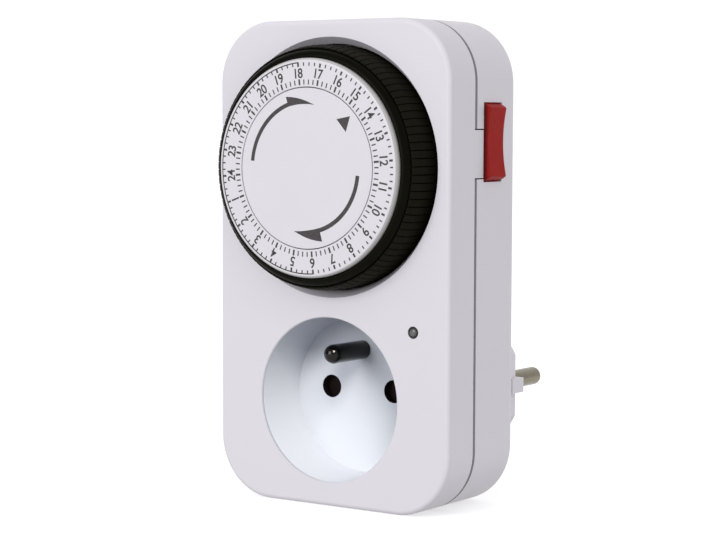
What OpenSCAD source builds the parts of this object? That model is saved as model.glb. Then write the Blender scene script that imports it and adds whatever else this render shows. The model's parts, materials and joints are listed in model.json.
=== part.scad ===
// Plug in timer switch: a mechanical 24 hour timer with a recessed earthed
// socket in front and a round two pin plug behind.
// Frame: X = 0 on the common axis plane of the dial and the socket, Y = 0 at
// the middle of the housing's depth (front is -Y), Z = 0 on the flat bottom.
// The pieces are drawn from the parting plane, and placed() moves them there.

/* [Body] */
// Width of the housing
body_w = 69.2; // [68.6:0.2:71]
// Height of the housing
body_h = 120; // [119:0.5:124]
// Depth of the front shell, from the parting plane to the front face
front_d = 11.4; // [11:0.1:12]
// Depth of the rear shell, from the parting plane to the flat back
rear_d = 19.3; // [18.8:0.1:22]
// Radius of the housing corners seen from the front
corner_r = 15.3; // [13:0.1:16]
// Wall thickness of the shells
wall = 2; // [1.8:0.1:2.2]
// Rounding of the front edge
front_round = 1.2; // [0.8:0.1:1.6]
// Rounding of the back edge
back_round = 2.9; // [1.5:0.1:3]
// Width of the groove along the parting line
seam_w = 1.0; // [0.4:0.1:1.4]

/* [Socket] */
// Radius of the socket well at its mouth
well_r = 20.5; // [20:0.1:20.8]
// Depth of the socket well
well_d = 15; // [14:0.5:16]
// Radius of each contact hole
hole_r = 2.9; // [2.6:0.05:2.95]
// Free length of the earth pin
earth_l = 15; // [13:0.5:15]

/* [Dial] */
// Radius of the printed ring
ring_r = 26.6; // [26.2:0.1:26.7]
// How far the printed ring stands in front of the housing
ring_out = 9.4; // [9.2:0.1:9.8]
// Outer radius of the ring of tappets
tappet_r = 29.95; // [29.8:0.05:30]
// Travel of a tappet when it is pressed
tappet_travel = 3; // [2:0.1:3]
// Angle that one tappet fills, out of its 3.75 degrees
tappet_a = 3.3; // [2.8:0.1:3.4]
// Angle of the hour mark nearest to the right of the dial
dial_turn = 5.2; // [0:0.1:14.9]

/* [Plug] */
// Length of the plug boss behind the flat back
boss_l = 24.9; // [20:0.1:28]
// Sideways offset of the plug from the socket
plug_x = 6; // [5:0.5:7]
// Length of a plug pin outside the boss
pin_l = 19; // [18:0.5:19]

/* [Rocker] */
// Radius of the swept ends of the override rocker
rocker_r = 10.2; // [10:0.1:11]
// Width of the override rocker
rocker_w = 7.7; // [7:0.1:7.7]

/* [Hidden] */
$fn = 96;

mid_y = (rear_d - front_d) / 2; // middle of the housing's depth, from the parting plane
x0 = -33.8;                    // left side of the housing
x1 = x0 + body_w;              // right side of the housing
yf = -front_d;                 // front face
yr = rear_d;                   // flat back
hole_z = 27.75;                // height of the two contact holes
well_z = 26.5;                 // height of the centre of the well
floor_y = yf + well_d;         // floor of the well
dial_z = 83.86;                // height of the dial centre
ring_y = yf - ring_out;        // front of the printed ring
lamp = [25.1, 44.8];           // place of the indicator
plug_z = 26.4;                 // height of the plug pins
face_y = yr + boss_l;          // face of the plug boss
rock_x = x1 - 4.2;             // rocker pivot
rock_z = 90.3;
rock_y0 = 3.8;                 // front edge of the rocker
tab_z = [81.7, 93.25];         // tab of the front shell beside the rocker
tab_y = 3.4;
screws = [[x0 + 7.8, body_h - 8], [x1 - 7.8, body_h - 8], [x0 + 7.8, 8], [x1 - 7.8, 8]];

shell_white = [0.87, 0.87, 0.89];
cup_white = [0.86, 0.89, 0.93];
black = [0.08, 0.08, 0.08];
red = [0.62, 0.05, 0.04];
nickel = [0.62, 0.6, 0.55];
brass = [0.8, 0.66, 0.32];
white = [0.93, 0.93, 0.94];

// the gear train: modules, tooth numbers, and the angle from each axis to the next
n0 = 66; m0 = 0.6; na = 11; wa = 48; ma = 0.5; nb = 12; wb = 45; mb = 0.4; np = 10;
ang_a = 225; ang_b = -20; ang_p = 0;
ca = [(n0 + na) * m0 / 2 * cos(ang_a), dial_z + (n0 + na) * m0 / 2 * sin(ang_a)];
cb = ca + (wa + nb) * ma / 2 * [cos(ang_b), sin(ang_b)];
cp = cb + (wb + np) * mb / 2 * [cos(ang_p), sin(ang_p)];

// ---- helpers ----
module placed() { translate([0, -mid_y, 0]) children(); }
// cylinder along Y from ya to yb
module ycyl(x, z, ya, yb, r) { translate([x, ya, z]) rotate([-90, 0, 0]) cylinder(r = r, h = yb - ya); }
// solid of revolution about a Y axis; the profile is drawn as (radius, y)
module yrev(x, z) { translate([x, 0, z]) rotate([-90, 0, 0]) rotate_extrude() children(); }
// a flat shape drawn as (x, z), extruded from ya to yb
module yext(ya, yb) { translate([0, yb, 0]) rotate([90, 0, 0]) linear_extrude(yb - ya) children(); }
module box(a, b) { translate(a) cube(b - a); }
module tube(x, z, ya, yb, ro, ri) { difference() { ycyl(x, z, ya, yb, ro); ycyl(x, z, ya - 1, yb + 1, ri); } }

// rounded rectangle drawn as (x, z)
module rrect(xa, xb, za, zb, r) {
    translate([xa + r, za]) square([xb - xa - 2 * r, zb - za]);
    translate([xa, za + r]) square([xb - xa, zb - za - 2 * r]);
    for (x = [xa + r, xb - r], z = [za + r, zb - r]) translate([x, z]) circle(r);
}

// half profile of a round corner, drawn as (radius, y), y0 to y1 deep
module corner_profile(r, y0, y1, f0, f1) {
    translate([0, y0 + f0]) square([r, y1 - y0 - f0 - f1]);
    translate([0, y0]) square([r - max(f0, f1), y1 - y0]);
    if (f0 > 0) translate([r - f0, y0 + f0]) circle(f0);
    if (f1 > 0) translate([r - f1, y1 - f1]) circle(f1);
}

// rounded box with rounded corners seen along Y, and its front or back edge rounded
module rounded_box(xa, xb, za, zb, r, y0, y1, f0, f1) {
    for (x = [xa + r, xb - r], z = [za + r, zb - r])
        yrev(x, z) corner_profile(r, y0, y1, f0, f1);
    // slab between the left and right corners
    translate([xa + r, 0, 0]) rotate([90, 0, 90]) linear_extrude(xb - xa - 2 * r)
        slab_yz(za, zb, y0, y1, f0, f1);
    // slab between the top and bottom corners
    translate([0, 0, za + r]) linear_extrude(zb - za - 2 * r)
        slab_xy(xa, xb, y0, y1, f0, f1);
}
module slab_xy(a, b, y0, y1, f0, f1) {
    g = max(f0, f1);
    translate([a, y0 + f0]) square([b - a, y1 - y0 - f0 - f1]);
    translate([a + g, y0]) square([b - a - 2 * g, y1 - y0]);
    if (f0 > 0) for (x = [a + f0, b - f0]) translate([x, y0 + f0]) circle(f0);
    if (f1 > 0) for (x = [a + f1, b - f1]) translate([x, y1 - f1]) circle(f1);
}
// the same profile drawn as (y, z)
module slab_yz(a, b, y0, y1, f0, f1) {
    g = max(f0, f1);
    translate([y0 + f0, a]) square([y1 - y0 - f0 - f1, b - a]);
    translate([y0, a + g]) square([y1 - y0, b - a - 2 * g]);
    if (f0 > 0) for (z = [a + f0, b - f0]) translate([y0 + f0, z]) circle(f0);
    if (f1 > 0) for (z = [a + f1, b - f1]) translate([y1 - f1, z]) circle(f1);
}

// opening with a conical edge: radius ra at the front face, rb at depth d and beyond
module cone_cut(ra, rb, d, y_end) {
    polygon([[0, yf - 1], [ra, yf - 1], [ra, yf], [rb, yf + d], [rb, y_end], [0, y_end]]);
}

module window_sweep(extra) {
    // swept ends of the rocker, about its pivot
    translate([rock_x, rock_z]) circle(rocker_r + extra);
}

// gear drawn as (x, z), with a tooth centred at angle ph
module gear2d(n, m, ph) {
    r = n * m / 2; ra = r + 0.8 * m; rf = r - 1.05 * m; p = 360 / n;
    polygon([for (k = [0:n - 1], q = [[rf, -0.29], [ra, -0.13], [ra, 0.13], [rf, 0.29]])
        let (t = ph + (k + q[1]) * p) [q[0] * cos(t), q[0] * sin(t)]]);
}

// ---- housing ----
module front_shell() {
    placed() color(shell_white) difference() {
        union() {
            difference() {
                rounded_box(x0, x1, 0, body_h, corner_r, yf, 0, front_round, 0);
                yext(yf + 2.2, 1) rrect(x0 + wall, x1 - wall, wall, body_h - wall, corner_r - wall);
            }
            // collar behind the dial opening
            tube(0, dial_z, yf + 1.8, yf + 4.6, 31.7, 30.35);
            for (s = screws) ycyl(s[0], s[1], yf + 2, -0.6, 3);
            // tab that reaches the rocker
            box([x1 - wall, -1, tab_z[0]], [x1, tab_y, tab_z[1]]);
        }
        yrev(0, dial_z) cone_cut(31.95, 30.35, 2.8, yf + 5);
        yrev(0, well_z) cone_cut(well_r + 0.2, well_r, 0.2, yf + 5);
        // seat of the socket cup, behind a thin lip
        ycyl(0, well_z, yf + 0.6, yf + 5, well_r + 1.1);
        ycyl(lamp[0], lamp[1], yf - 1, yf + 4, 1.5);
        for (s = screws) ycyl(s[0], s[1], yf + 3, 1, 1.25);
        seam_cut(-seam_w / 2, 0, true);
    }
}

// groove that runs round the parting line, on one side of it
module seam_cut(ya, yb, leave_tab) {
    difference() {
        yext(ya, yb + (leave_tab ? 0.001 : 0)) difference() {
            rrect(x0 - 1, x1 + 1, -1, body_h + 1, corner_r + 1);
            rrect(x0 + 0.95, x1 - 0.95, 0.95, body_h - 0.95, corner_r - 0.95);
        }
        if (leave_tab) box([x1 - 2, ya - 1, tab_z[0]], [x1 + 2, yb + 1, tab_z[1]]);
    }
}

module rear_shell() {
    placed() color(shell_white) difference() {
        union() {
            difference() {
                rounded_box(x0, x1, 0, body_h, corner_r, 0, yr, 0, back_round);
                yext(-1, yr - 2.2) rrect(x0 + wall, x1 - wall, wall, body_h - wall, corner_r - wall);
            }
            for (s = screws) ycyl(s[0], s[1], 0.2, yr - 1, 3.6);
            // round plinth that holds the ends of the socket contacts
            ycyl(0, hole_z, yr - 1, yr + 6.5, 20);
            plug_boss();
            // rear bearing of the rocker
            box([rock_x - 3, 12, rock_z - 3], [x1 - 1, 13.6, rock_z + 3]);
            box([rock_x - 3, 12.5, rock_z - 3], [rock_x + 3, yr - 1, rock_z - 1.6]);
        }
        // hollow of the plinth and of the boss
        ycyl(0, hole_z, yr - 3, yr + 4.4, 17.6);
        ycyl(plug_x, plug_z, yr - 3, face_y - 4, 13.9);
        for (s = [-9.5, 9.5]) ycyl(plug_x + s, plug_z, face_y - 6, face_y + 1, 2.7);
        ycyl(plug_x, plug_z + 10, face_y - 6, face_y + 1, 3.1);
        for (s = screws) {
            ycyl(s[0], s[1], -1, yr + 1, 1.45);
            ycyl(s[0], s[1], yr - 2.4, yr + 1, 2.9);
        }
        // rocker window, and the notch for the tab of the front shell
        intersection() {
            yext(rock_y0 - 0.3, rock_y0 + rocker_w + 0.3) window_sweep(0.3);
            box([x1 - 3, -5, rock_z - 15], [x1 + 5, 20, rock_z + 15]);
        }
        box([x1 - wall - 1, -1, tab_z[0] - 0.3], [x1 + 1, rock_y0, tab_z[1] + 0.3]);
        ycyl(rock_x, rock_z, 10.8, 14, 1.25);
        seam_cut(0, seam_w / 2, false);
    }
}

// round boss with two flats, a chamfered nose and a guide nib on each flat
module plug_boss() {
    intersection() {
        union() {
            ycyl(plug_x, plug_z, yr - 1, face_y - 2, 17.8);
            translate([plug_x, face_y - 2, plug_z]) rotate([-90, 0, 0]) cylinder(r1 = 17.8, r2 = 16.4, h = 2);
        }
        union() {
            box([plug_x - 15.9, yr - 1, plug_z - 20], [plug_x + 15.9, face_y - 2, plug_z + 20]);
            translate([0, 0, plug_z - 20]) linear_extrude(40)
                polygon([[plug_x - 15.9, face_y - 2.01], [plug_x + 15.9, face_y - 2.01], [plug_x + 14.5, face_y], [plug_x - 14.5, face_y]]);
        }
    }
    for (s = [-1, 1]) translate([plug_x + s * 15.3, 0, 0])
        box([-1.9, face_y - 5.5, plug_z - 1.9], [1.9, face_y, plug_z + 1.9]);
}

module socket_cup() {
    placed() color(cup_white) difference() {
        union() {
            ycyl(0, well_z, yf + 2.2, floor_y + 2, 22.4);
            ycyl(0, well_z, yf + 2.2, yf + 3.6, 24.2);
            ycyl(0, well_z, yf + 0.6, yf + 3, well_r + 1);
            // rails for the shutter
            for (s = [-1, 1]) box([s * 14.6 - 1, floor_y + 1.5, 17], [s * 14.6 + 1, floor_y + 3.7, 32.4]);
        }
        translate([0, yf + 0.5, well_z]) rotate([-90, 0, 0]) cylinder(r1 = well_r, r2 = well_r - 0.7, h = floor_y - yf - 0.5);
        for (s = [-9.5, 9.5]) ycyl(s, hole_z, floor_y - 1, floor_y + 3, hole_r);
        ycyl(0, hole_z + 10, floor_y - 1, floor_y + 3, 2.1);
    }
}

module earth_pin() {
    placed() color(nickel) {
        ycyl(0, hole_z + 10, floor_y - earth_l + 2.4, floor_y, 2.4);
        ycyl(0, hole_z + 10, floor_y - 1, floor_y + 5, 2.1);
        translate([0, floor_y - earth_l + 2.4, hole_z + 10]) sphere(2.4);
        ycyl(0, hole_z + 10, floor_y + 2, floor_y + 3, 3.6);
    }
}

module shutter() {
    placed() color([0.75, 0.76, 0.78]) {
        box([-13, floor_y + 2.3, hole_z - 2.95], [13, floor_y + 3.5, hole_z + 2.95]);
        box([-1.6, floor_y + 2.3, hole_z - 4.4], [1.6, floor_y + 3.5, hole_z - 2.9]);
    }
}

module shutter_cover() {
    placed() color(cup_white) difference() {
        union() {
            box([-15.6, floor_y + 3.7, 11.5], [15.6, floor_y + 4.8, 32.4]);
            // foot that the shutter spring stands on
            box([-2.4, floor_y + 2.2, 11.5], [2.4, floor_y + 3.8, 13]);
        }
        for (s = [-9.5, 9.5]) ycyl(s, hole_z, floor_y + 3, floor_y + 6, 3);
    }
}

// coil spring along Z, swept as one closed tube
module coil(x, y, za, zb, r, w, turns) {
    n = turns * 12; k = 6;
    ring = function(i) let (t = i * 360 / 12, z = za + w + (zb - za - 2 * w) * i / n)
        [for (j = [0:k - 1]) let (q = j * 360 / k) [x + (r + w * cos(q)) * cos(t), y + (r + w * cos(q)) * sin(t), z + w * sin(q)]];
    pts = [for (i = [0:n]) each ring(i)];
    faces = concat(
        [for (i = [0:n - 1], j = [0:k - 1]) [i * k + j, i * k + (j + 1) % k, (i + 1) * k + (j + 1) % k, (i + 1) * k + j]],
        [[for (j = [k - 1:-1:0]) j]], [[for (j = [0:k - 1]) n * k + j]]);
    polyhedron(pts, faces);
}

module shutter_spring() {
    placed() color([0.7, 0.7, 0.72]) coil(0, floor_y + 2.95, 13.05, hole_z - 4.45, 0.5, 0.14, 8);
}

// sprung sleeve that grips a pin
module contact(x) {
    placed() color(brass) difference() {
        ycyl(x, hole_z, floor_y + 5, yr + 3.8, 3.3);
        ycyl(x, hole_z, floor_y + 4, yr + 5, 2.5);
        box([x - 0.4, floor_y + 4, hole_z], [x + 0.4, yr + 1, hole_z + 5]);
    }
}
module contact_left() { contact(-9.5); }
module contact_right() { contact(9.5); }

// round plug pin with a blunt rounded tip and a shank in the boss wall
module plug_pin(x) {
    placed() color(nickel) {
        ycyl(x, plug_z, face_y - 7, face_y, 2.7);
        ycyl(x, plug_z, face_y - 1, face_y + pin_l - 1.3, 2.4);
        // blunt tip with a rounded edge
        translate([x, face_y + pin_l - 1.3, plug_z]) rotate([90, 0, 0]) rotate_extrude() {
            translate([0, -1.3]) square([1.1, 1.3]);
            intersection() {
                translate([1.1, 0]) circle(1.3);
                translate([1.1, -1.3]) square([1.3, 1.3]);
            }
        }
    }
}
module plug_pin_left() { plug_pin(plug_x - 9.5); }
module plug_pin_right() { plug_pin(plug_x + 9.5); }

module earth_tube() {
    placed() color(nickel) tube(plug_x, plug_z + 10, face_y - 16, face_y - 0.2, 3.1, 2.5);
}

module earth_strap() {
    placed() color(brass) {
        box([-1.5, floor_y + 5, hole_z + 7.6], [1.5, floor_y + 5.8, hole_z + 12.4]);
        box([-1.5, floor_y + 5, hole_z + 6.8], [1.5, face_y - 16.8, hole_z + 7.7]);
        box([-1.5, face_y - 16.8, hole_z + 6.8], [plug_x + 1.5, face_y - 16, hole_z + 9.4]);
    }
}

module neutral_strip() {
    placed() color(brass) {
        // from the left plug pin forward, then across to the left socket contact
        box([plug_x - 10.5, yr + 1, plug_z - 0.4], [plug_x - 8.5, face_y - 7, plug_z + 0.4]);
        box([-6.4, yr + 0.2, plug_z - 2.4], [plug_x - 8.5, yr + 1, plug_z + 2.4]);
    }
}

module line_strip() {
    placed() color(brass) {
        // from the right plug pin forward, then up to the fixed contact
        box([plug_x + 8.5, yr - 4, plug_z - 0.4], [plug_x + 10.5, face_y - 7, plug_z + 0.4]);
        box([plug_x + 8.5, yr - 4.8, plug_z - 0.4], [30.2, yr - 4, plug_z + 3]);
        box([28.2, yr - 4.8, plug_z + 2.9], [30.2, yr - 4, 50]);
        box([28.2, 4, 49.2], [30.2, yr - 4, 50]);
        box([28.2, 3.2, 49.2], [30.2, 4, 78]);
    }
}

module load_strip() {
    placed() color(brass) {
        // from the right socket contact up to the movement
        box([12.6, floor_y + 6, hole_z - 1.5], [22, floor_y + 6.8, hole_z + 1.5]);
        box([20, floor_y + 6, hole_z + 1.4], [22, floor_y + 6.8, 53.5]);
        box([20, 2.6, 52.7], [22, floor_y + 6.8, 53.5]);
    }
}

module indicator_lens() {
    placed() color([0.12, 0.1, 0.1]) {
        ycyl(lamp[0], lamp[1], yf - 0.3, yf + 4, 1.45);
        ycyl(lamp[0], lamp[1], yf + 2.3, yf + 3.3, 2.6);
    }
}

module indicator_lamp() {
    placed() color([0.85, 0.5, 0.3]) {
        ycyl(lamp[0], lamp[1], yf + 4.2, yf + 9, 1.5);
        translate([lamp[0] + 4, yf + 7, lamp[1] - 4]) cylinder(r = 1.1, h = 7);
        box([lamp[0] - 0.4, yf + 8.9, lamp[1] - 0.4], [lamp[0] + 4.2, yf + 9.5, lamp[1] + 0.4]);
        box([lamp[0] + 3.6, yf + 7, lamp[1] - 0.4], [lamp[0] + 4.2, yf + 9.5, lamp[1] + 0.4]);
    }
}

module shell_screws() {
    placed() color(nickel) for (s = screws) difference() {
        union() {
            ycyl(s[0], s[1], -6.5, yr - 2.3, 1.25);
            ycyl(s[0], s[1], yr - 2.4, yr - 0.7, 2.6);
        }
        box([s[0] - 2.2, yr - 1.5, s[1] - 0.35], [s[0] + 2.2, yr, s[1] + 0.35]);
        box([s[0] - 0.35, yr - 1.5, s[1] - 2.2], [s[0] + 0.35, yr, s[1] + 2.2]);
    }
}

// ---- dial ----
module dial_drum() {
    seat = ring_y + 2;
    placed() color(black) yrev(0, dial_z) difference() {
        union() {
            // front web, hub and rim
            translate([4.05, seat + 0.4]) square([23, 2]);
            translate([19, seat]) square([9.75, 2.4]);
            translate([4.05, seat + 0.4]) square([2.95, -4 - seat - 0.4]);
            translate([25, seat]) square([2.4, -7.6 - seat]);
            translate([25, seat]) square([3.75, 3.2]);
            translate([25, -8.7]) square([3.75, 1.1]);
            // convex lip beside the printed ring
            polygon([[ring_r + 0.1, seat + 0.5], [ring_r + 0.1, ring_y + 1.25], [27.3, ring_y + 1.3], [27.9, ring_y + 1.6], [28.4, ring_y + 2.1], [28.75, ring_y + 2.8], [28.75, seat + 1.8], [27, seat + 1.8]]);
        }
        translate([0, -30]) square([4.05, 40]);
    }
}

module dial_ring() {
    placed() color(white) yrev(0, dial_z)
        polygon([[19.65, ring_y + 2], [ring_r, ring_y + 2], [ring_r, ring_y + 1], [ring_r - 0.12, ring_y + 0.6], [ring_r - 0.45, ring_y + 0.25], [ring_r - 1.1, ring_y], [19.65, ring_y]]);
}

module dial_gear() {
    placed() color([0.85, 0.85, 0.8]) translate([0, 0, dial_z]) yext(-6.4, -4.4) difference() {
        gear2d(n0, m0, ang_a);
        circle(7);
    }
}

module centre_cap() {
    placed() color(white) {
        yrev(0, dial_z) polygon([[0, ring_y], [19.3, ring_y], [19.45, ring_y + 0.15], [19.45, ring_y + 1.2], [0, ring_y + 1.2]]);
        ycyl(0, dial_z, ring_y + 1, ring_y + 7, 1.8);
    }
}

module centre_post() {
    placed() color(nickel) difference() {
        union() {
            ycyl(0, dial_z, ring_y + 1.2, 1, 4);
            ycyl(0, dial_z, 0.9, 2.6, 3);
        }
        ycyl(0, dial_z, ring_y, ring_y + 8, 1.8);
    }
}

// one block of four neighbouring tappets; each slides along Y between the drum's lip and flange
module tappet_block(h) {
    a0 = 90 + dial_turn + (h - 1) * 15;
    placed() color(black) for (k = [0:3]) translate([0, 0, dial_z]) rotate([0, -(a0 + (k + 0.5) * 3.75 + tappet_a / 2), 0])
        rotate([-90, 0, 0]) rotate_extrude(angle = tappet_a)
            polygon([[28.9, ring_y + 2.7], [29.3, ring_y + 2.9], [tappet_r, ring_y + 5.8], [tappet_r, -7], [28.9, -7], [28.9, -12.3], [27.6, -12.3], [27.6, -15.1], [28.9, -15.1]]);
}
module tappets_hour_01() { tappet_block(1); }
module tappets_hour_02() { tappet_block(2); }
module tappets_hour_03() { tappet_block(3); }
module tappets_hour_04() { tappet_block(4); }
module tappets_hour_05() { tappet_block(5); }
module tappets_hour_06() { tappet_block(6); }
module tappets_hour_07() { tappet_block(7); }
module tappets_hour_08() { tappet_block(8); }
module tappets_hour_09() { tappet_block(9); }
module tappets_hour_10() { tappet_block(10); }
module tappets_hour_11() { tappet_block(11); }
module tappets_hour_12() { tappet_block(12); }
module tappets_hour_13() { tappet_block(13); }
module tappets_hour_14() { tappet_block(14); }
module tappets_hour_15() { tappet_block(15); }
module tappets_hour_16() { tappet_block(16); }
module tappets_hour_17() { tappet_block(17); }
module tappets_hour_18() { tappet_block(18); }
module tappets_hour_19() { tappet_block(19); }
module tappets_hour_20() { tappet_block(20); }
module tappets_hour_21() { tappet_block(21); }
module tappets_hour_22() { tappet_block(22); }
module tappets_hour_23() { tappet_block(23); }
module tappets_hour_24() { tappet_block(24); }

// ---- movement ----
module movement_plate() {
    placed() color([0.8, 0.8, 0.76]) difference() {
        union() {
            yext(1, 2.6) rrect(x0 + wall + 0.4, x1 - wall - 0.4, 51, body_h - wall - 0.4, corner_r - wall - 0.4);
            // ears that carry the trip lever
            for (x = [26.8, 31.3]) box([x, -2.8, 68.6], [x + 0.7, 1.5, 71.4]);
        }
        translate([26, -1.6, 70]) rotate([0, 90, 0]) cylinder(r = 0.65, h = 7);
        ycyl(29.4, 77, 0, 4, 0.6);
        for (s = screws) ycyl(s[0], s[1], 0, 4, 3.9);
        ycyl(0, dial_z, 0, 4, 3);
        ycyl(ca[0], ca[1], 0, 4, 1);
        ycyl(cb[0], cb[1], 0, 4, 1);
        ycyl(cp[0], cp[1], 0, 4, 1.3);
        ycyl(rock_x, rock_z, 0, 4, 1.25);
    }
}

module gear_arbors() {
    placed() color(nickel) {
        ycyl(ca[0], ca[1], -6.9, 2.6, 1);
        ycyl(cb[0], cb[1], -4.2, 2.6, 1);
    }
}

module gear_first() {
    placed() color([0.85, 0.85, 0.8]) difference() {
        translate([ca[0], 0, ca[1]]) {
            yext(-6.7, -3.5) gear2d(na, m0, ang_a + 180 + 180 / na);
            yext(-3.6, -2.2) gear2d(wa, ma, ang_b);
        }
        ycyl(ca[0], ca[1], -8, 0, 1.05);
    }
}

module gear_second() {
    placed() color([0.85, 0.85, 0.8]) difference() {
        translate([cb[0], 0, cb[1]]) {
            yext(-3.9, -1.5) gear2d(nb, ma, ang_b + 180 + 180 / nb);
            yext(-1.6, -0.4) gear2d(wb, mb, ang_p);
        }
        ycyl(cb[0], cb[1], -8, 1, 1.05);
    }
}

module motor_pinion() {
    placed() color(brass) {
        translate([cp[0], 0, cp[1]]) yext(-1.8, -0.2) gear2d(np, mb, ang_p + 180 + 180 / np);
        ycyl(cp[0], cp[1], -0.3, 4.8, 1);
    }
}

module motor_case() {
    placed() color([0.68, 0.69, 0.7]) difference() {
        ycyl(12, 68, 2.6, 11.8, 15.5);
        ycyl(cp[0], cp[1], 2, 5, 1.05);
    }
}

module motor_coil() {
    placed() color([0.75, 0.4, 0.15]) ycyl(12, 68, 11.8, 16.2, 11);
}

module trip_lever() {
    placed() color([0.9, 0.85, 0.6]) {
        // pivot barrel along X, arm upward, nose behind the tappets
        translate([27.6, -1.6, 70]) rotate([0, 90, 0]) cylinder(r = 1.2, h = 3.6);
        translate([26.8, -1.6, 70]) rotate([0, 90, 0]) cylinder(r = 0.6, h = 5.2);
        box([27.8, -2.6, 70], [31, -1.4, 85]);
        box([28.7, -3.6, 83], [30, -2.5, 85]);
    }
}

module moving_contact() {
    placed() color(brass) {
        box([28.4, -1.4, 73], [30.4, -1, 82]);
        ycyl(29.4, 80, -1.1, -0.6, 0.9);
    }
}

module fixed_contact() {
    placed() color(brass) {
        ycyl(29.4, 80, 0.5, 0.8, 0.9);
        box([28.4, 0.7, 76], [30.4, 1, 81]);
        ycyl(29.4, 77, 0.8, 3.2, 0.6);
    }
}

// ---- rocker ----
module override_rocker() {
    placed() color(red) {
        yext(rock_y0, rock_y0 + rocker_w) difference() {
            union() {
                intersection() {
                    window_sweep(0);
                    translate([rock_x + 1, rock_z - 15]) square([4.9, 30]);
                }
                translate([rock_x, rock_z]) circle(2.7);
                translate([rock_x, rock_z - 2.7]) square([2, 5.4]);
            }
            translate([rock_x + 43.7, rock_z]) circle(38.7, $fn = 360);
        }
        // trunnions and switching arm
        ycyl(rock_x, rock_z, 1.2, 12.8, 1.2);
        box([rock_x - 7, 5, rock_z - 1], [rock_x - 1, 8, rock_z + 1]);
    }
}

module override_contact() {
    placed() color(brass) {
        box([rock_x - 8.4, rock_y0 + 1.7, rock_z + 1.7], [rock_x - 4, rock_y0 + 4.7, rock_z + 2.1]);
        box([rock_x - 8.4, 2.6, rock_z + 1.7], [rock_x - 8, rock_y0 + 4.7, rock_z + 8]);
    }
}

front_shell();
rear_shell();
socket_cup();
earth_pin();
shutter();
shutter_cover();
shutter_spring();
contact_left();
contact_right();
plug_pin_left();
plug_pin_right();
earth_tube();
earth_strap();
neutral_strip();
line_strip();
load_strip();
indicator_lens();
indicator_lamp();
dial_drum();
dial_ring();
dial_gear();
centre_cap();
centre_post();
movement_plate();
gear_arbors();
gear_first();
gear_second();
motor_pinion();
motor_case();
motor_coil();
trip_lever();
moving_contact();
fixed_contact();
override_rocker();
override_contact();
shell_screws();
tappets_hour_01();
tappets_hour_02();
tappets_hour_03();
tappets_hour_04();
tappets_hour_05();
tappets_hour_06();
tappets_hour_07();
tappets_hour_08();
tappets_hour_09();
tappets_hour_10();
tappets_hour_11();
tappets_hour_12();
tappets_hour_13();
tappets_hour_14();
tappets_hour_15();
tappets_hour_16();
tappets_hour_17();
tappets_hour_18();
tappets_hour_19();
tappets_hour_20();
tappets_hour_21();
tappets_hour_22();
tappets_hour_23();
tappets_hour_24();
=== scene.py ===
import json
import math
import bpy
import bmesh
from mathutils import Matrix, Vector


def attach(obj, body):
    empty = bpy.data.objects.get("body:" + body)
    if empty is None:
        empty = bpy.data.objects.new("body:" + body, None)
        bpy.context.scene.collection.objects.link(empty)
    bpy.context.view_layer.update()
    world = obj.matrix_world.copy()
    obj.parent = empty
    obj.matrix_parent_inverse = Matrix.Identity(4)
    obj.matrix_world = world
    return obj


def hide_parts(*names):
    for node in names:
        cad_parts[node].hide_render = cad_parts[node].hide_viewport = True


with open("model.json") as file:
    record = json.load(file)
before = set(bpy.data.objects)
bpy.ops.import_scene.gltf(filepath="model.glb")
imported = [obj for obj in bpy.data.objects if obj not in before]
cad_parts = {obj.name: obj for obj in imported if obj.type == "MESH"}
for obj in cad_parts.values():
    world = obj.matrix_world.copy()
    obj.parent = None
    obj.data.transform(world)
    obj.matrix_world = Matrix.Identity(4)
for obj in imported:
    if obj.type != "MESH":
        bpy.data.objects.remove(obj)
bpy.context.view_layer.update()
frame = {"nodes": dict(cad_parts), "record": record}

NODES = frame["nodes"]

# ---------------------------------------------------------------- numbers, in mm, as in the CAD
MY = 3.95                  # the parting plane lies this far in front of Y = 0
YF = -11.4                 # front face, from the parting plane
DIAL_Z = 83.86             # height of the dial centre
RING_Y = -20.8             # printed plane of the dial
RING_R = 26.6
TURN = 5.2                 # angle of the hour mark nearest to the right


def V(x, y, z):
    """A point given in mm from the parting plane, in metres in the frame."""
    return Vector((x / 1000, (y - MY) / 1000, z / 1000))


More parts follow.
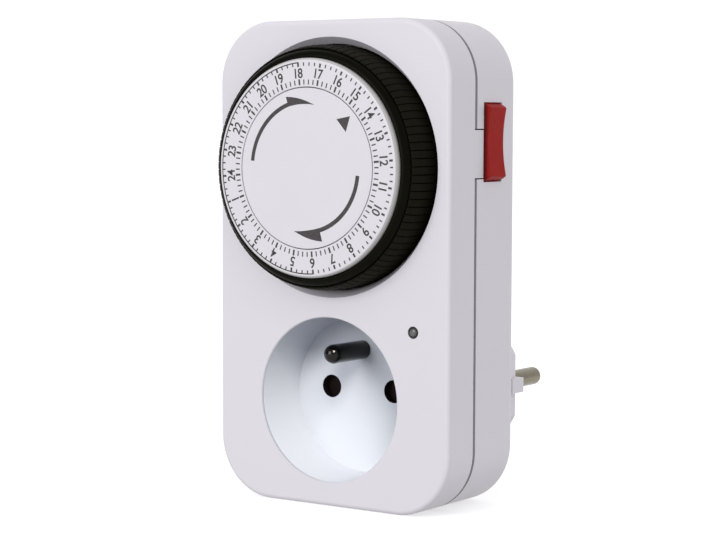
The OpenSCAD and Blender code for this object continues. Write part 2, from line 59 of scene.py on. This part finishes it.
# ---------------------------------------------------------------- materials
def material(name, color, rough, spec=0.5, metal=0.0, grain=None, mottle=0.03, mottle_scale=60.0,
             rough_var=0.06, rough_scale=400.0, coat=0.0, coat_rough=0.1, trans=0.0, ior=1.46,
             brushed=None, sss=0.0, above_x=None):
    m = bpy.data.materials.new(name)
    m.use_nodes = True
    nt = m.node_tree
    n, l = nt.nodes, nt.links
    b = n["Principled BSDF"]
    b.inputs["Metallic"].default_value = metal
    b.inputs["Specular IOR Level"].default_value = spec
    b.inputs["IOR"].default_value = ior
    b.inputs["Coat Weight"].default_value = coat
    b.inputs["Coat Roughness"].default_value = coat_rough
    b.inputs["Transmission Weight"].default_value = trans
    if sss:
        b.inputs["Subsurface Weight"].default_value = sss
        b.inputs["Subsurface Radius"].default_value = (0.0012, 0.0011, 0.001)
        b.inputs["Subsurface Scale"].default_value = 1.0
    tc = n.new("ShaderNodeTexCoord")
    # colour: a broad, faint unevenness of the moulding
    no = n.new("ShaderNodeTexNoise")
    no.inputs["Scale"].default_value = mottle_scale
    no.inputs["Detail"].default_value = 5.0
    no.inputs["Roughness"].default_value = 0.55
    l.new(tc.outputs["Object"], no.inputs["Vector"])
    ramp = n.new("ShaderNodeValToRGB")
    lo = [c * (1 - mottle) for c in color]
    hi = [min(1.0, c * (1 + mottle)) for c in color]
    ramp.color_ramp.elements[0].position = 0.3
    ramp.color_ramp.elements[0].color = (*lo, 1)
    ramp.color_ramp.elements[1].position = 0.7
    ramp.color_ramp.elements[1].color = (*hi, 1)
    l.new(no.outputs["Fac"], ramp.inputs["Fac"])
    col_out = ramp.outputs["Color"]
    if above_x:
        # a second colour beyond a distance from the middle of the housing
        sep = n.new("ShaderNodeSeparateXYZ")
        l.new(tc.outputs["Object"], sep.inputs["Vector"])
        xr = n.new("ShaderNodeMapRange")
        xr.inputs["From Min"].default_value = above_x[0]
        xr.inputs["From Max"].default_value = above_x[1]
        l.new(sep.outputs["X"], xr.inputs["Value"])
        mx = n.new("ShaderNodeMix")
        mx.data_type = "RGBA"
        l.new(xr.outputs["Result"], mx.inputs[0])
        l.new(col_out, mx.inputs[6])
        mx.inputs[7].default_value = (*above_x[2], 1)
        col_out = mx.outputs[2]
    l.new(col_out, b.inputs["Base Color"])
    # roughness: finger marks and flow marks
    nr = n.new("ShaderNodeTexNoise")
    nr.inputs["Scale"].default_value = rough_scale
    nr.inputs["Detail"].default_value = 4.0
    l.new(tc.outputs["Object"], nr.inputs["Vector"])
    mr = n.new("ShaderNodeMapRange")
    mr.inputs["From Min"].default_value = 0.25
    mr.inputs["From Max"].default_value = 0.75
    mr.inputs["To Min"].default_value = max(0.02, rough - rough_var)
    mr.inputs["To Max"].default_value = min(1.0, rough + rough_var)
    l.new(nr.outputs["Fac"], mr.inputs["Value"])
    l.new(mr.outputs["Result"], b.inputs["Roughness"])
    # surface: the fine eroded grain of a moulding tool, or drawing lines on metal
    if grain or brushed:
        bump = n.new("ShaderNodeBump")
        if brushed:
            mp = n.new("ShaderNodeMapping")
            mp.inputs["Scale"].default_value = brushed[0]
            l.new(tc.outputs["Object"], mp.inputs["Vector"])
            ng = n.new("ShaderNodeTexNoise")
            ng.inputs["Scale"].default_value = 1.0
            ng.inputs["Detail"].default_value = 6.0
            l.new(mp.outputs["Vector"], ng.inputs["Vector"])
            bump.inputs["Strength"].default_value = brushed[1]
            bump.inputs["Distance"].default_value = 0.00002
        else:
            ng = n.new("ShaderNodeTexNoise")
            ng.inputs["Scale"].default_value = grain[0]
            ng.inputs["Detail"].default_value = 3.0
            ng.inputs["Roughness"].default_value = 0.6
            l.new(tc.outputs["Object"], ng.inputs["Vector"])
            bump.inputs["Strength"].default_value = grain[1]
            bump.inputs["Distance"].default_value = grain[2]
        l.new(ng.outputs["Fac"], bump.inputs["Height"])
        l.new(bump.outputs["Normal"], b.inputs["Normal"])
    return m


M = {
    "shell": material("shell_plastic", (0.735, 0.712, 0.768), 0.46, spec=0.40, grain=(5200, 0.22, 0.00003),
                      mottle=0.008, mottle_scale=45, rough_var=0.05, rough_scale=260),
    "cup": material("cup_plastic", (0.455, 0.478, 0.535), 0.34, spec=0.35, grain=(4200, 0.10, 0.00002),
                    mottle=0.01, mottle_scale=60, rough_var=0.04),
    "black": material("black_plastic", (0.0036, 0.0034, 0.0015), 0.36, spec=0.040, grain=(6500, 0.18, 0.00003),
                      mottle=0.18, mottle_scale=240, rough_var=0.06, rough_scale=700),
    "tappet": material("tappet_plastic", (0.0092, 0.0086, 0.0046), 0.55, spec=0.035, grain=(6500, 0.15, 0.00003),
                       mottle=0.12, mottle_scale=240, rough_var=0.05, rough_scale=700),
    # painted shade: a greyer white for the rounded rim of the printed ring, toning down the highlight the light
    # puts on it
    "ring_edge": material("ring_edge_painted_shade", (0.50, 0.475, 0.480), 0.45, spec=0.25, grain=(3000, 0.06, 0.00002),
                          mottle=0.02, mottle_scale=90, rough_var=0.04),
    # painted shade: a darker shell colour for the groove faces along the parting line, standing in for the shade in
    # the groove
    "seam": material("shell_seam_painted_shade", (0.50, 0.48, 0.515), 0.6, spec=0.2, grain=(5200, 0.2, 0.00003),
                     mottle=0.03, mottle_scale=200, rough_var=0.04),
    "ring": material("printed_white_plastic", (0.72, 0.695, 0.745), 0.36, spec=0.40, grain=(3000, 0.06, 0.00002),
                     mottle=0.01, mottle_scale=90, rough_var=0.04),
    "ink": material("dark_print", (0.052, 0.044, 0.047), 0.5, spec=0.3, grain=(9000, 0.2, 0.00001),
                    mottle=0.25, mottle_scale=1500, rough_var=0.05),
    "red": material("red_plastic", (0.345, 0.0125, 0.0105), 0.38, spec=0.06, grain=(5200, 0.22, 0.00003),
                    mottle=0.08, mottle_scale=500, rough_var=0.06, rough_scale=900),
    # painted shade: the front-facing flank of the rocker is a darker red, standing in for the shade of the gap by
    # the housing window; beyond x 36.05 mm it turns to a lighter red
    "red_flank_painted_shade": material("red_plastic_flank_painted_shade", (0.190, 0.013, 0.0125), 0.5, spec=0.10, grain=(5200, 0.3, 0.00003),
                          mottle=0.12, mottle_scale=500, rough_var=0.06, rough_scale=900,
                          above_x=(0.03605, 0.0364, (0.42, 0.018, 0.016))),
    "nickel": material("nickel_plating", (0.215, 0.19, 0.145), 0.25, metal=1.0, mottle=0.07, mottle_scale=380,
                       brushed=((900, 160, 900), 0.25), rough_var=0.07, rough_scale=900),
    # painted shade: a near-black nickel for the earth pin, standing in for the dark surroundings its plating
    # reflects
    "nickel_painted_dark": material("nickel_plating_painted_dark", (0.011, 0.0105, 0.0095), 0.13, metal=1.0, coat=0.30, coat_rough=0.06, mottle=0.10, mottle_scale=380,
                            brushed=((900, 160, 900), 0.25), rough_var=0.06, rough_scale=900),
    "brass": material("brass_strip", (0.66, 0.45, 0.17), 0.33, metal=1.0, mottle=0.08, mottle_scale=300,
                      brushed=((300, 300, 2500), 0.3), rough_var=0.08),
    "steel": material("zinc_plated_steel", (0.55, 0.56, 0.58), 0.32, metal=1.0, mottle=0.08, mottle_scale=500,
                      brushed=((1500, 1500, 300), 0.3), rough_var=0.09),
    "acetal": material("natural_acetal", (0.74, 0.72, 0.64), 0.38, spec=0.45, grain=(3500, 0.15, 0.00002),
                       mottle=0.02, mottle_scale=120, sss=0.0),
    "lens": material("smoked_lens", (0.105, 0.103, 0.105), 0.22, spec=0.4, coat=0.3, coat_rough=0.1, mottle=0.2,
                     mottle_scale=900, rough_var=0.03),
    # painted shade: a near-black rim round the indicator dome, standing in for the shade of the gap round the lens
    "bezel": material("lens_rim_painted_shade", (0.028, 0.027, 0.026), 0.4, spec=0.25, mottle=0.2,
                      mottle_scale=900, rough_var=0.05),
    # painted shade: near-black for the walls of the socket holes and the shutter behind them, standing in for the
    # shade in the holes
    "hole": material("hole_wall_painted_shade", (0.010, 0.0055, 0.006), 0.6, spec=0.05, grain=(4200, 0.1, 0.00002),
                     mottle=0.15, mottle_scale=300, rough_var=0.04),
    "lamp": material("neon_lamp_glass", (0.62, 0.30, 0.16), 0.15, spec=0.5, coat=0.8, mottle=0.15, mottle_scale=700,
                     rough_var=0.05),
    "coil": material("taped_coil", (0.52, 0.24, 0.07), 0.35, spec=0.5, coat=0.4, mottle=0.12, mottle_scale=200,
                     brushed=((100, 2600, 100), 0.8), rough_var=0.08),
    "edge_grey": material("print_hairline", (0.30, 0.28, 0.28), 0.5, spec=0.3, grain=(9000, 0.1, 0.00001),
                          mottle=0.1, mottle_scale=1500),
}

SLOT_MATERIAL = {"shell": "shell", "cup": "cup", "black_plastic": "black", "white_plastic": "ring",
                 "red_plastic": "red", "nickel": "nickel", "brass": "brass", "steel": "steel",
                 "gear_plastic": "acetal", "smoked_lens": "lens", "lamp": "lamp", "coil_wrap": "coil"}
SLOT_OF = {s["node"]: s["material_slot"] for s in frame["record"]["subparts"]}
for name, o in NODES.items():
    o.data.materials.clear()
    o.data.materials.append(M[SLOT_MATERIAL[SLOT_OF[name]]])
# painted shade: the earth pin gets the near-black nickel instead of the plug pin's lighter nickel, standing in for
# dark reflections
NODES["earth_pin"].data.materials[0] = M["nickel_painted_dark"]
# painted shade: the shutter behind the holes takes the near-black hole colour, standing in for the shade in the
# holes
NODES["shutter"].data.materials[0] = M["hole"]
for name in ("front_shell", "rear_shell"):
    # painted shade: the faces in the groove along the parting line get a darker colour, standing in for the shade
    # inside the groove
    o = NODES[name]
    o.data.materials.append(M["seam"])
    x_lo, x_hi, z_hi, r = -0.0338, 0.0354, 0.120, 0.0153
    for p in o.data.polygons:
        c = p.center
        if abs(c.y + MY / 1000) > 0.00056:
            continue
        dx = max(x_lo + r - c.x, c.x - (x_hi - r), 0.0)
        dz = max(r - c.z, c.z - (z_hi - r), 0.0)
        if dx and dz:
            inset = r - math.hypot(dx, dz)
        else:
            inset = min(c.x - x_lo, x_hi - c.x, c.z, z_hi - c.z)
        if 0.00015 < inset < 0.0012 and not (abs(p.normal.y) < 0.5 and inset < 0.0005):
            p.material_index = 1


# ---------------------------------------------------------------- mesh helpers
def link(name, verts, faces, mat, smooth=True, sharp=32.0, recalc=True):
    me = bpy.data.meshes.new(name)
    me.from_pydata([tuple(v) for v in verts], [], faces)
    me.materials.append(M[mat] if isinstance(mat, str) else mat)
    o = bpy.data.objects.new(name, me)
    bpy.context.scene.collection.objects.link(o)
    bm = bmesh.new()
    bm.from_mesh(me)
    bmesh.ops.remove_doubles(bm, verts=bm.verts, dist=1e-8)
    if recalc:
        bmesh.ops.recalc_face_normals(bm, faces=bm.faces)
    for f in bm.faces:
        f.smooth = smooth
    lim = math.radians(sharp)
    for e in bm.edges:
        if len(e.link_faces) == 2:
            e.smooth = e.calc_face_angle(0.0) < lim
        else:
            e.smooth = False
    bm.to_mesh(me)
    bm.free()
    me.update()
    return o


def bevel(o, width_mm, segments=2, angle=30.0):
    md = o.modifiers.new("edges", "BEVEL")
    md.width = width_mm / 1000
    md.segments = segments
    md.limit_method = "ANGLE"
    md.angle_limit = math.radians(angle)
    md.harden_normals = False
    wn = o.modifiers.new("normals", "WEIGHTED_NORMAL")
    wn.keep_sharp = True
    wn.weight = 80
    return o


def weighted(o):
    wn = o.modifiers.new("normals", "WEIGHTED_NORMAL")
    wn.keep_sharp = True
    wn.weight = 80
    return o


def arc(cx, cy, r, a0, a1, n):
    return [(cx + r * math.cos(math.radians(a0 + (a1 - a0) * i / n)), cy + r * math.sin(math.radians(a0 + (a1 - a0) * i / n)))
            for i in range(n + 1)]


def revolve(name, profile, x, z, mat, seg=192, sharp=32.0, a0=0.0, a1=360.0):
    """Solid of revolution about a Y axis through (x, z); profile is a closed list of (radius, y)."""
    full = abs(a1 - a0 - 360) < 1e-6
    steps = seg if full else seg + 1
    verts, faces = [], []
    k = len(profile)
    for i in range(steps):
        t = math.radians(a0 + (a1 - a0) * i / seg)
        for r, y in profile:
            verts.append(V(x + r * math.cos(t), y, z + r * math.sin(t)))
    for i in range(seg):
        j = (i + 1) % steps
        for q in range(k):
            p = (q + 1) % k
            faces.append((i * k + q, i * k + p, j * k + p, j * k + q))
    if not full:
        faces.append(tuple(range(k)))
        faces.append(tuple((steps - 1) * k + q for q in range(k)))
    o = link(name, verts, faces, mat, sharp=sharp)
    # drop faces that collapsed on the axis
    bm = bmesh.new()
    bm.from_mesh(o.data)
    bmesh.ops.dissolve_degenerate(bm, dist=1e-8, edges=bm.edges)
    bmesh.ops.recalc_face_normals(bm, faces=bm.faces)
    bm.to_mesh(o.data)
    bm.free()
    return o


def plate(verts, faces, poly, y0, y1):
    """Adds a flat closed shape, a convex or simple outline of (x, z) in mm, from y0 to y1."""
    n, b = len(poly), len(verts)
    verts += [V(x, y0, z) for x, z in poly] + [V(x, y1, z) for x, z in poly]
    faces.append(tuple(range(b, b + n)))
    faces.append(tuple(range(b + n, b + 2 * n)))
    for i in range(n):
        j = (i + 1) % n
        faces.append((b + i, b + j, b + n + j, b + n + i))


def strip(verts, faces, inner, outer, y0, y1, closed=False):
    """Adds a closed band between two lines of (x, z) of the same length, from y0 to y1."""
    n, b = len(inner), len(verts)
    for line, y in ((inner, y0), (outer, y0), (outer, y1), (inner, y1)):
        verts += [V(x, y, z) for x, z in line]
    last = n if closed else n - 1
    for i in range(last):
        j = (i + 1) % n
        for q in range(4):
            p = (q + 1) % 4
            faces.append((b + q * n + i, b + q * n + j, b + p * n + j, b + p * n + i))
    if not closed:
        faces.append((b, b + n, b + 2 * n, b + 3 * n))
        faces.append((b + n - 1, b + 2 * n - 1, b + 3 * n - 1, b + 4 * n - 1))


def pol(r, a):
    return (r * math.cos(math.radians(a)), DIAL_Z + r * math.sin(math.radians(a)))


def tick(verts, faces, a, r0, r1, w, y0, y1):
    t = math.radians(a)
    c, s = math.cos(t), math.sin(t)
    pts = []
    for r, d in ((r0, -w / 2), (r1, -w / 2), (r1, w / 2), (r0, w / 2)):
        pts.append((r * c - d * s, DIAL_Z + r * s + d * c))
    plate(verts, faces, pts, y0, y1)


# ---------------------------------------------------------------- camera first
f_px, az, el, roll = 2068.41, math.radians(34.99), math.radians(4.19), math.radians(0.18)
back = Vector((math.sin(az) * math.cos(el), -math.cos(az) * math.cos(el), math.sin(el)))
right = Vector((math.cos(az), math.sin(az), 0))
up = right.cross(-back)
Rr = right * math.cos(roll) + up * math.sin(roll)
Uu = -right * math.sin(roll) + up * math.cos(roll)
cam_data = bpy.data.cameras.new("photo_camera")
cam = bpy.data.objects.new("photo_camera", cam_data)
bpy.context.scene.collection.objects.link(cam)
cam.matrix_world = Matrix((
    (Rr.x, Uu.x, back.x, 0.29686),
    (Rr.y, Uu.y, back.y, -0.42270 - MY / 1000),
    (Rr.z, Uu.z, back.z, 0.09592),
    (0, 0, 0, 1)))
cam_data.sensor_width = 36.0
cam_data.lens = f_px / 716 * 36.0
cam_data.clip_start = 0.02
cam_data.clip_end = 60
bpy.context.scene.camera = cam

# ---------------------------------------------------------------- dial: drum, ring, cap
# convex lip and body of the drum
lip = [(26.72, -18.4), (26.72, -19.42), (26.80, -19.54), (27.0, -19.60), (27.35, -19.56), (27.7, -19.42), (28.02, -19.20),
       (28.3, -18.92), (28.52, -18.60), (28.67, -18.24), (28.74, -17.85), (28.75, -17.2), (28.75, -15.75), (28.65, -15.62),
       (27.4, -15.58), (27.4, -8.72), (28.62, -8.70), (28.75, -8.58), (28.75, -7.72), (28.62, -7.6), (25.0, -7.6),
       (25.0, -16.4), (7.0, -16.4), (7.0, -4.0), (4.05, -4.0), (4.05, -18.4), (19.0, -18.4), (19.0, -18.8), (26.0, -18.8), (26.0, -18.4)]
drum = revolve("drum_with_lip", lip, 0, DIAL_Z, "black", seg=288)
weighted(drum)
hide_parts("dial_drum")
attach(drum, "dial")

# printed ring with its domed edge
edge = [(RING_R - 0.85 + 0.85 * math.sin(math.radians(a)), RING_Y + 0.92 * (1 - math.cos(math.radians(a)))) for a in range(0, 91, 9)]
ring_profile = [(19.66, RING_Y + 2.0), (19.66, RING_Y + 0.12), (19.78, RING_Y)] + edge + [(RING_R, RING_Y + 2.0)]
ring = revolve("dial_ring_moulding", ring_profile, 0, DIAL_Z, "ring", seg=288)
weighted(ring)
# painted shade: the rounded outer rim of the ring gets the greyer rim colour in place of its highlight
ring.data.materials.append(M["ring_edge"])
for p in ring.data.polygons:
    if math.hypot(p.center.x, p.center.z - DIAL_Z / 1000) > (RING_R - 0.52) / 1000:
        p.material_index = 1
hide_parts("dial_ring")
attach(ring, "dial")

# fixed centre disc
cap_profile = [(0.0, RING_Y), (19.28, RING_Y), (19.36, RING_Y + 0.02), (19.43, RING_Y + 0.08), (19.45, RING_Y + 0.18), (19.45, RING_Y + 1.2),
               (1.8, RING_Y + 1.2), (1.8, RING_Y + 7.0), (0.0, RING_Y + 7.0)]
cap = revolve("centre_disc", cap_profile, 0, DIAL_Z, "ring", seg=256)
weighted(cap)
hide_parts("centre_cap")
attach(cap, "housing")

INK0, INK1 = RING_Y - 0.018, RING_Y + 0.03

# scales and night line, printed on the ring
v, f = [], []
for k in range(96):
    a = TURN + k * 3.75
    hour = k % 4 == 0
    tick(v, f, a, 20.08 if hour else 20.16, 21.5 if hour else 21.38, 0.50 if hour else 0.31, INK0, INK1)
    tick(v, f, a, 24.50 if hour else 24.66, 25.5, 0.52 if hour else 0.33, INK0, INK1)
n = 180
a0, a1 = TURN + 90, TURN + 270
inner = [pol(25.38, a0 - 0.45 + (a1 - a0 + 0.9) * i / n) for i in range(n + 1)]
outer = [pol(25.66, a0 - 0.45 + (a1 - a0 + 0.9) * i / n) for i in range(n + 1)]
strip(v, f, inner, outer, INK0 - 0.002, INK1)
scales = link("dial_scale_print", v, f, "ink", smooth=False)
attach(scales, "dial")

# hour numbers
parts_v, parts_f = [], []
for h in range(1, 25):
    cu = bpy.data.curves.new("hour_text", "FONT")
    cu.body = str(h)
    cu.size = 3.26
    cu.align_x = "CENTER"
    cu.align_y = "CENTER"
    cu.space_character = 0.93
    cu.extrude = 0.02
    cu.offset = 0.060
    to = bpy.data.objects.new("hour_text", cu)
    bpy.context.scene.collection.objects.link(to)
    bpy.context.view_layer.update()
    deps = bpy.context.evaluated_depsgraph_get()
    me = bpy.data.meshes.new_from_object(to.evaluated_get(deps))
    xs = [p.co.x for p in me.vertices]
    ys = [p.co.y for p in me.vertices]
    cx, cy = (min(xs) + max(xs)) / 2, (min(ys) + max(ys)) / 2
    t = math.radians(TURN + (h - 12) * 15)
    u = (math.cos(t), math.sin(t))
    w = (math.sin(t), -math.cos(t))
    b = len(parts_v)
    for p in me.vertices:
        tx, ty = (p.co.x - cx) * 0.93, (p.co.y - cy) * 1.0 + 22.95
        y = (INK0 + INK1) / 2 - p.co.z * ((INK1 - INK0) / 2 / 0.02)
        parts_v.append(V(tx * w[0] + ty * u[0], y, DIAL_Z + tx * w[1] + ty * u[1]))
    parts_f += [tuple(b + i for i in pl.vertices) for pl in me.polygons]
    bpy.data.objects.remove(to)
    bpy.data.meshes.remove(me)
numbers = link("dial_number_print", parts_v, parts_f, "ink", smooth=False)
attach(numbers, "dial")


# arrows and the marker on the centre disc
def arrow(verts, faces, tail, head, corner, tip, ri, ro, rc, rt):
    """A curved arrow from angle tail round to angle tip, clockwise, with one barb outward at angle corner."""
    y0, y1 = INK0, INK1
    m = 40
    inner = [pol(ri, tail + (head - tail) * i / m) for i in range(m + 1)]
    outer = [pol(ro, tail + (head - tail) * i / m) for i in range(m + 1)]
    strip(verts, faces, inner, outer, y0, y1)
    m = 24
    lo, hi = [], []
    for i in range(m + 1):
        s = i / m
        a = corner + (tip - corner) * s
        lo.append(pol(ri + (rt - ri) * s ** 1.5 - 0.12 * math.sin(math.pi * s), a))
        hi.append(pol(rc + (rt + 0.06 - rc) * (1 - (1 - s) ** 1.25) + 0.10 * math.sin(math.pi * s), a))
    strip(verts, faces, lo, hi, y0 - 0.001, y1)


v, f = [], []
arrow(v, f, 174.2, 108.2, 109.1, 81.0, 15.72, 16.74, 18.22, 15.5)
arrow(v, f, -5.6, -75.2, -74.1, -102.4, 14.85, 15.92, 18.2, 15.62)
plate(v, f, [pol(15.0, 52.4), pol(14.81, 36.7), pol(18.17, 43.9)], INK0, INK1)
marks = link("centre_disc_print", v, f, "ink", smooth=False)
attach(marks, "housing")

# ---------------------------------------------------------------- tappets
TAP = 3.3
tap_profile = [(28.92, -18.06), (29.06, -18.1), (29.3, -17.86), (29.9, -15.1), (29.95, -14.7), (29.95, -7.12), (29.83, -7.0), (28.9, -7.0),
               (28.9, -12.3), (27.6, -12.3), (27.6, -15.1), (28.9, -15.1)]
for h in range(1, 25):
    verts, faces = [], []
    for k in range(4):
        a_start = 90 + TURN + (h - 1) * 15 + (k + 0.5) * 3.75 - TAP / 2
        steps = 4
        b, kk = len(verts), len(tap_profile)
        for i in range(steps + 1):
            t = math.radians(a_start + TAP * i / steps)
            for r, y in tap_profile:
                verts.append(V(r * math.cos(t), y, DIAL_Z + r * math.sin(t)))
        for i in range(steps):
            for q in range(kk):
                p = (q + 1) % kk
                faces.append((b + i * kk + q, b + i * kk + p, b + (i + 1) * kk + p, b + (i + 1) * kk + q))
        faces.append(tuple(b + q for q in range(kk)))
        faces.append(tuple(b + steps * kk + q for q in range(kk)))
    o = link("tappets_of_hour_%02d" % h, verts, faces, "tappet")
    bevel(o, 0.06, 2, 40)
    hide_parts("tappets_hour_%02d" % h)
    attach(o, "tappets_%02d" % h)

# ---------------------------------------------------------------- rocker
RX, RZ, RR = 31.2, 90.3, 10.2
outline = []
# outer, dished face from the upper to the lower end, then the swept ends and the hidden back
zt = math.sqrt(RR ** 2 - 5.9 ** 2)
cxd, rd = RX + 43.7, 38.7
dish = []
for i in range(25):
    z = zt - 2 * zt * i / 24
    dish.append((cxd - math.sqrt(rd ** 2 - z ** 2), z))
a_top = math.degrees(math.atan2(zt, 5.9))
a_bot_in = math.degrees(math.acos(1.0 / RR))
top_arc = [(RX + RR * math.cos(math.radians(a)), RR * math.sin(math.radians(a)))
           for a in [a_bot_in + (a_top - a_bot_in) * i / 8 for i in range(9)]]
bot_arc = [(x, -z) for x, z in reversed(top_arc)]
pts = top_arc[:-1] + [(x, z) for x, z in dish] + bot_arc[1:]
pts += [(RX + 1.0, -2.6), (RX - 1.6, -2.1), (RX - 2.6, -0.9), (RX - 2.6, 0.9), (RX - 1.6, 2.1), (RX + 1.0, 2.6)]
verts, faces = [], []
plate(verts, faces, [(x, RZ + z) for x, z in pts], 3.8, 11.5)
rocker = link("rocker_cap", verts, faces, "red", sharp=25)
# painted shade: the front-facing faces of the rocker get the darker red flank colour
rocker.data.materials.append(M["red_flank_painted_shade"])
for p in rocker.data.polygons:
    if p.normal.y < -0.9:
        p.material_index = 1
bevel(rocker, 0.38, 4, 40)
verts, faces = [], []
plate(verts, faces, [(RX - 7, RZ - 1), (RX - 1, RZ - 1), (RX - 1, RZ + 1), (RX - 7, RZ + 1)], 5.0, 8.0)
lever = link("rocker_arm", verts, faces, "red")
bevel(lever, 0.2, 2)
trun = revolve("rocker_trunnions", [(0, 1.2), (1.0, 1.2), (1.2, 1.4), (1.2, 12.6), (1.0, 12.8), (0, 12.8)], RX, RZ, "red", seg=48)
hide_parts("override_rocker")
for o in (rocker, lever, trun):
    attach(o, "rocker")

# ---------------------------------------------------------------- indicator lens, slightly domed
LX, LZ = 25.1, 44.8
lens_profile = [(0.0, YF - 0.30), (0.4, YF - 0.28), (0.72, YF - 0.21), (0.92, YF - 0.10), (1.02, YF + 0.05), (1.04, YF + 0.3), (1.04, YF + 2.3),
                (1.04, YF + 4.0), (0.0, YF + 4.0)]
lens = revolve("indicator_dome", lens_profile, LX, LZ, "lens", seg=64)
weighted(lens)
# painted shade: the rim round the dome is near-black, standing in for the shade of the gap round the lens
rim_profile = [(1.06, YF + 0.22), (1.16, YF + 0.1), (1.34, YF + 0.08), (1.44, YF + 0.2), (1.45, YF + 2.3), (2.6, YF + 2.3), (2.6, YF + 3.3), (1.06, YF + 3.3)]
lens_rim = revolve("indicator_rim", rim_profile, LX, LZ, "bezel", seg=64)
weighted(lens_rim)
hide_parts("indicator_lens")
for o in (lens, lens_rim):
    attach(o, "housing")

# ---------------------------------------------------------------- holes of the socket: painted shade on their walls
cup = NODES["socket_cup"]
# painted shade: the wall faces of the two contact holes get the near-black hole colour
cup.data.materials.append(M["hole"])
for p in cup.data.polygons:
    c = p.center
    for hx in (-0.0095, 0.0095):
        d = math.hypot(c.x - hx, c.z - 0.02775)
        if d < 0.00315 and c.y > V(0, 3.65, 0).y and abs(p.normal.y) < 0.5:
            p.material_index = 1

# ---------------------------------------------------------------- floor and light
def stage_plane(name, size, z, mat):
    me = bpy.data.meshes.new(name)
    s = size / 2
    me.from_pydata([(-s, -s, z), (s, -s, z), (s, s, z), (-s, s, z)], [], [(0, 1, 2, 3)])
    me.materials.append(mat)
    o = bpy.data.objects.new(name, me)
    bpy.context.scene.collection.objects.link(o)
    return o


floor_mat = material("pale_floor", (0.90, 0.90, 0.90), 0.8, spec=0.1, mottle=0.004, mottle_scale=4, rough_var=0.04)
fb = floor_mat.node_tree.nodes["Principled BSDF"]
fb.inputs["Emission Color"].default_value = (1, 1, 1, 1)
fb.inputs["Emission Strength"].default_value = 0.42
floor = stage_plane("floor", 60.0, -0.00002, floor_mat)
floor.visible_diffuse = False

scene = bpy.context.scene
scene.view_settings.view_transform = "Standard"
scene.view_settings.look = "None"
scene.view_settings.exposure = 0.0
scene.view_settings.gamma = 1.0

# white backdrop behind, softer and dimmer light from the front and from below
world = bpy.data.worlds.new("studio")
scene.world = world
world.use_nodes = True
wn, wl = world.node_tree.nodes, world.node_tree.links
wbg = wn["Background"]
tc = wn.new("ShaderNodeTexCoord")


def ramp_dot(vec, lo, hi, a, b, smooth=True):
    vm = wn.new("ShaderNodeVectorMath")
    vm.operation = "DOT_PRODUCT"
    vm.inputs[1].default_value = vec
    wl.new(tc.outputs["Generated"], vm.inputs[0])
    mr = wn.new("ShaderNodeMapRange")
    mr.interpolation_type = "SMOOTHSTEP" if smooth else "LINEAR"
    mr.inputs["From Min"].default_value = lo
    mr.inputs["From Max"].default_value = hi
    mr.inputs["To Min"].default_value = a
    mr.inputs["To Max"].default_value = b
    wl.new(vm.outputs["Value"], mr.inputs["Value"])
    return mr.outputs["Result"]


side_light = ramp_dot((1, 0, 0), -1.0, 1.0, 0.12, 0.86, False)
height_light = ramp_dot((0, 0, 1), -1.0, 1.0, -0.20, 0.20, False)
back_light = ramp_dot((-0.573, 0.819, 0.0), 0.15, 0.75, 0.0, 1.0)
add = wn.new("ShaderNodeMath")
add.operation = "ADD"
wl.new(side_light, add.inputs[0])
wl.new(height_light, add.inputs[1])
mixv = wn.new("ShaderNodeMix")
mixv.data_type = "FLOAT"
wl.new(back_light, mixv.inputs["Factor"])
wl.new(add.outputs["Value"], mixv.inputs["A"])
mixv.inputs["B"].default_value = 1.06
wl.new(mixv.outputs["Result"], wbg.inputs["Strength"])
wbg.inputs["Color"].default_value = (1.0, 1.0, 1.0, 1)


def area(name, az, el, dist, target, size, power, color=(1, 1, 1), only=None):
    """A square softbox; az is counted from the front toward +X."""
    d = bpy.data.lights.new(name, "AREA")
    d.shape = "SQUARE"
    d.size = size
    d.energy = power
    d.color = color
    o = bpy.data.objects.new(name, d)
    bpy.context.scene.collection.objects.link(o)
    a, e = math.radians(az), math.radians(el)
    t = Vector(target)
    o.location = t + dist * Vector((math.sin(a) * math.cos(e), -math.cos(a) * math.cos(e), math.sin(e)))
    o.rotation_mode = "QUATERNION"
    o.rotation_quaternion = (t - o.location).to_track_quat("-Z", "Y")
    if only:
        c = bpy.data.collections.new(name + "_receivers")
        for r in only:
            c.objects.link(r)
        o.light_linking.receiver_collection = c
    return o


area("key_softbox", -14, 15, 0.95, (0, 0, 0.06), 0.50, 5.05)
area("well_softbox", 40, 37, 0.95, (0, 0, 0.03), 0.32, 12.9, (1.0, 0.96, 0.865), only=[cup, NODES["earth_pin"]])
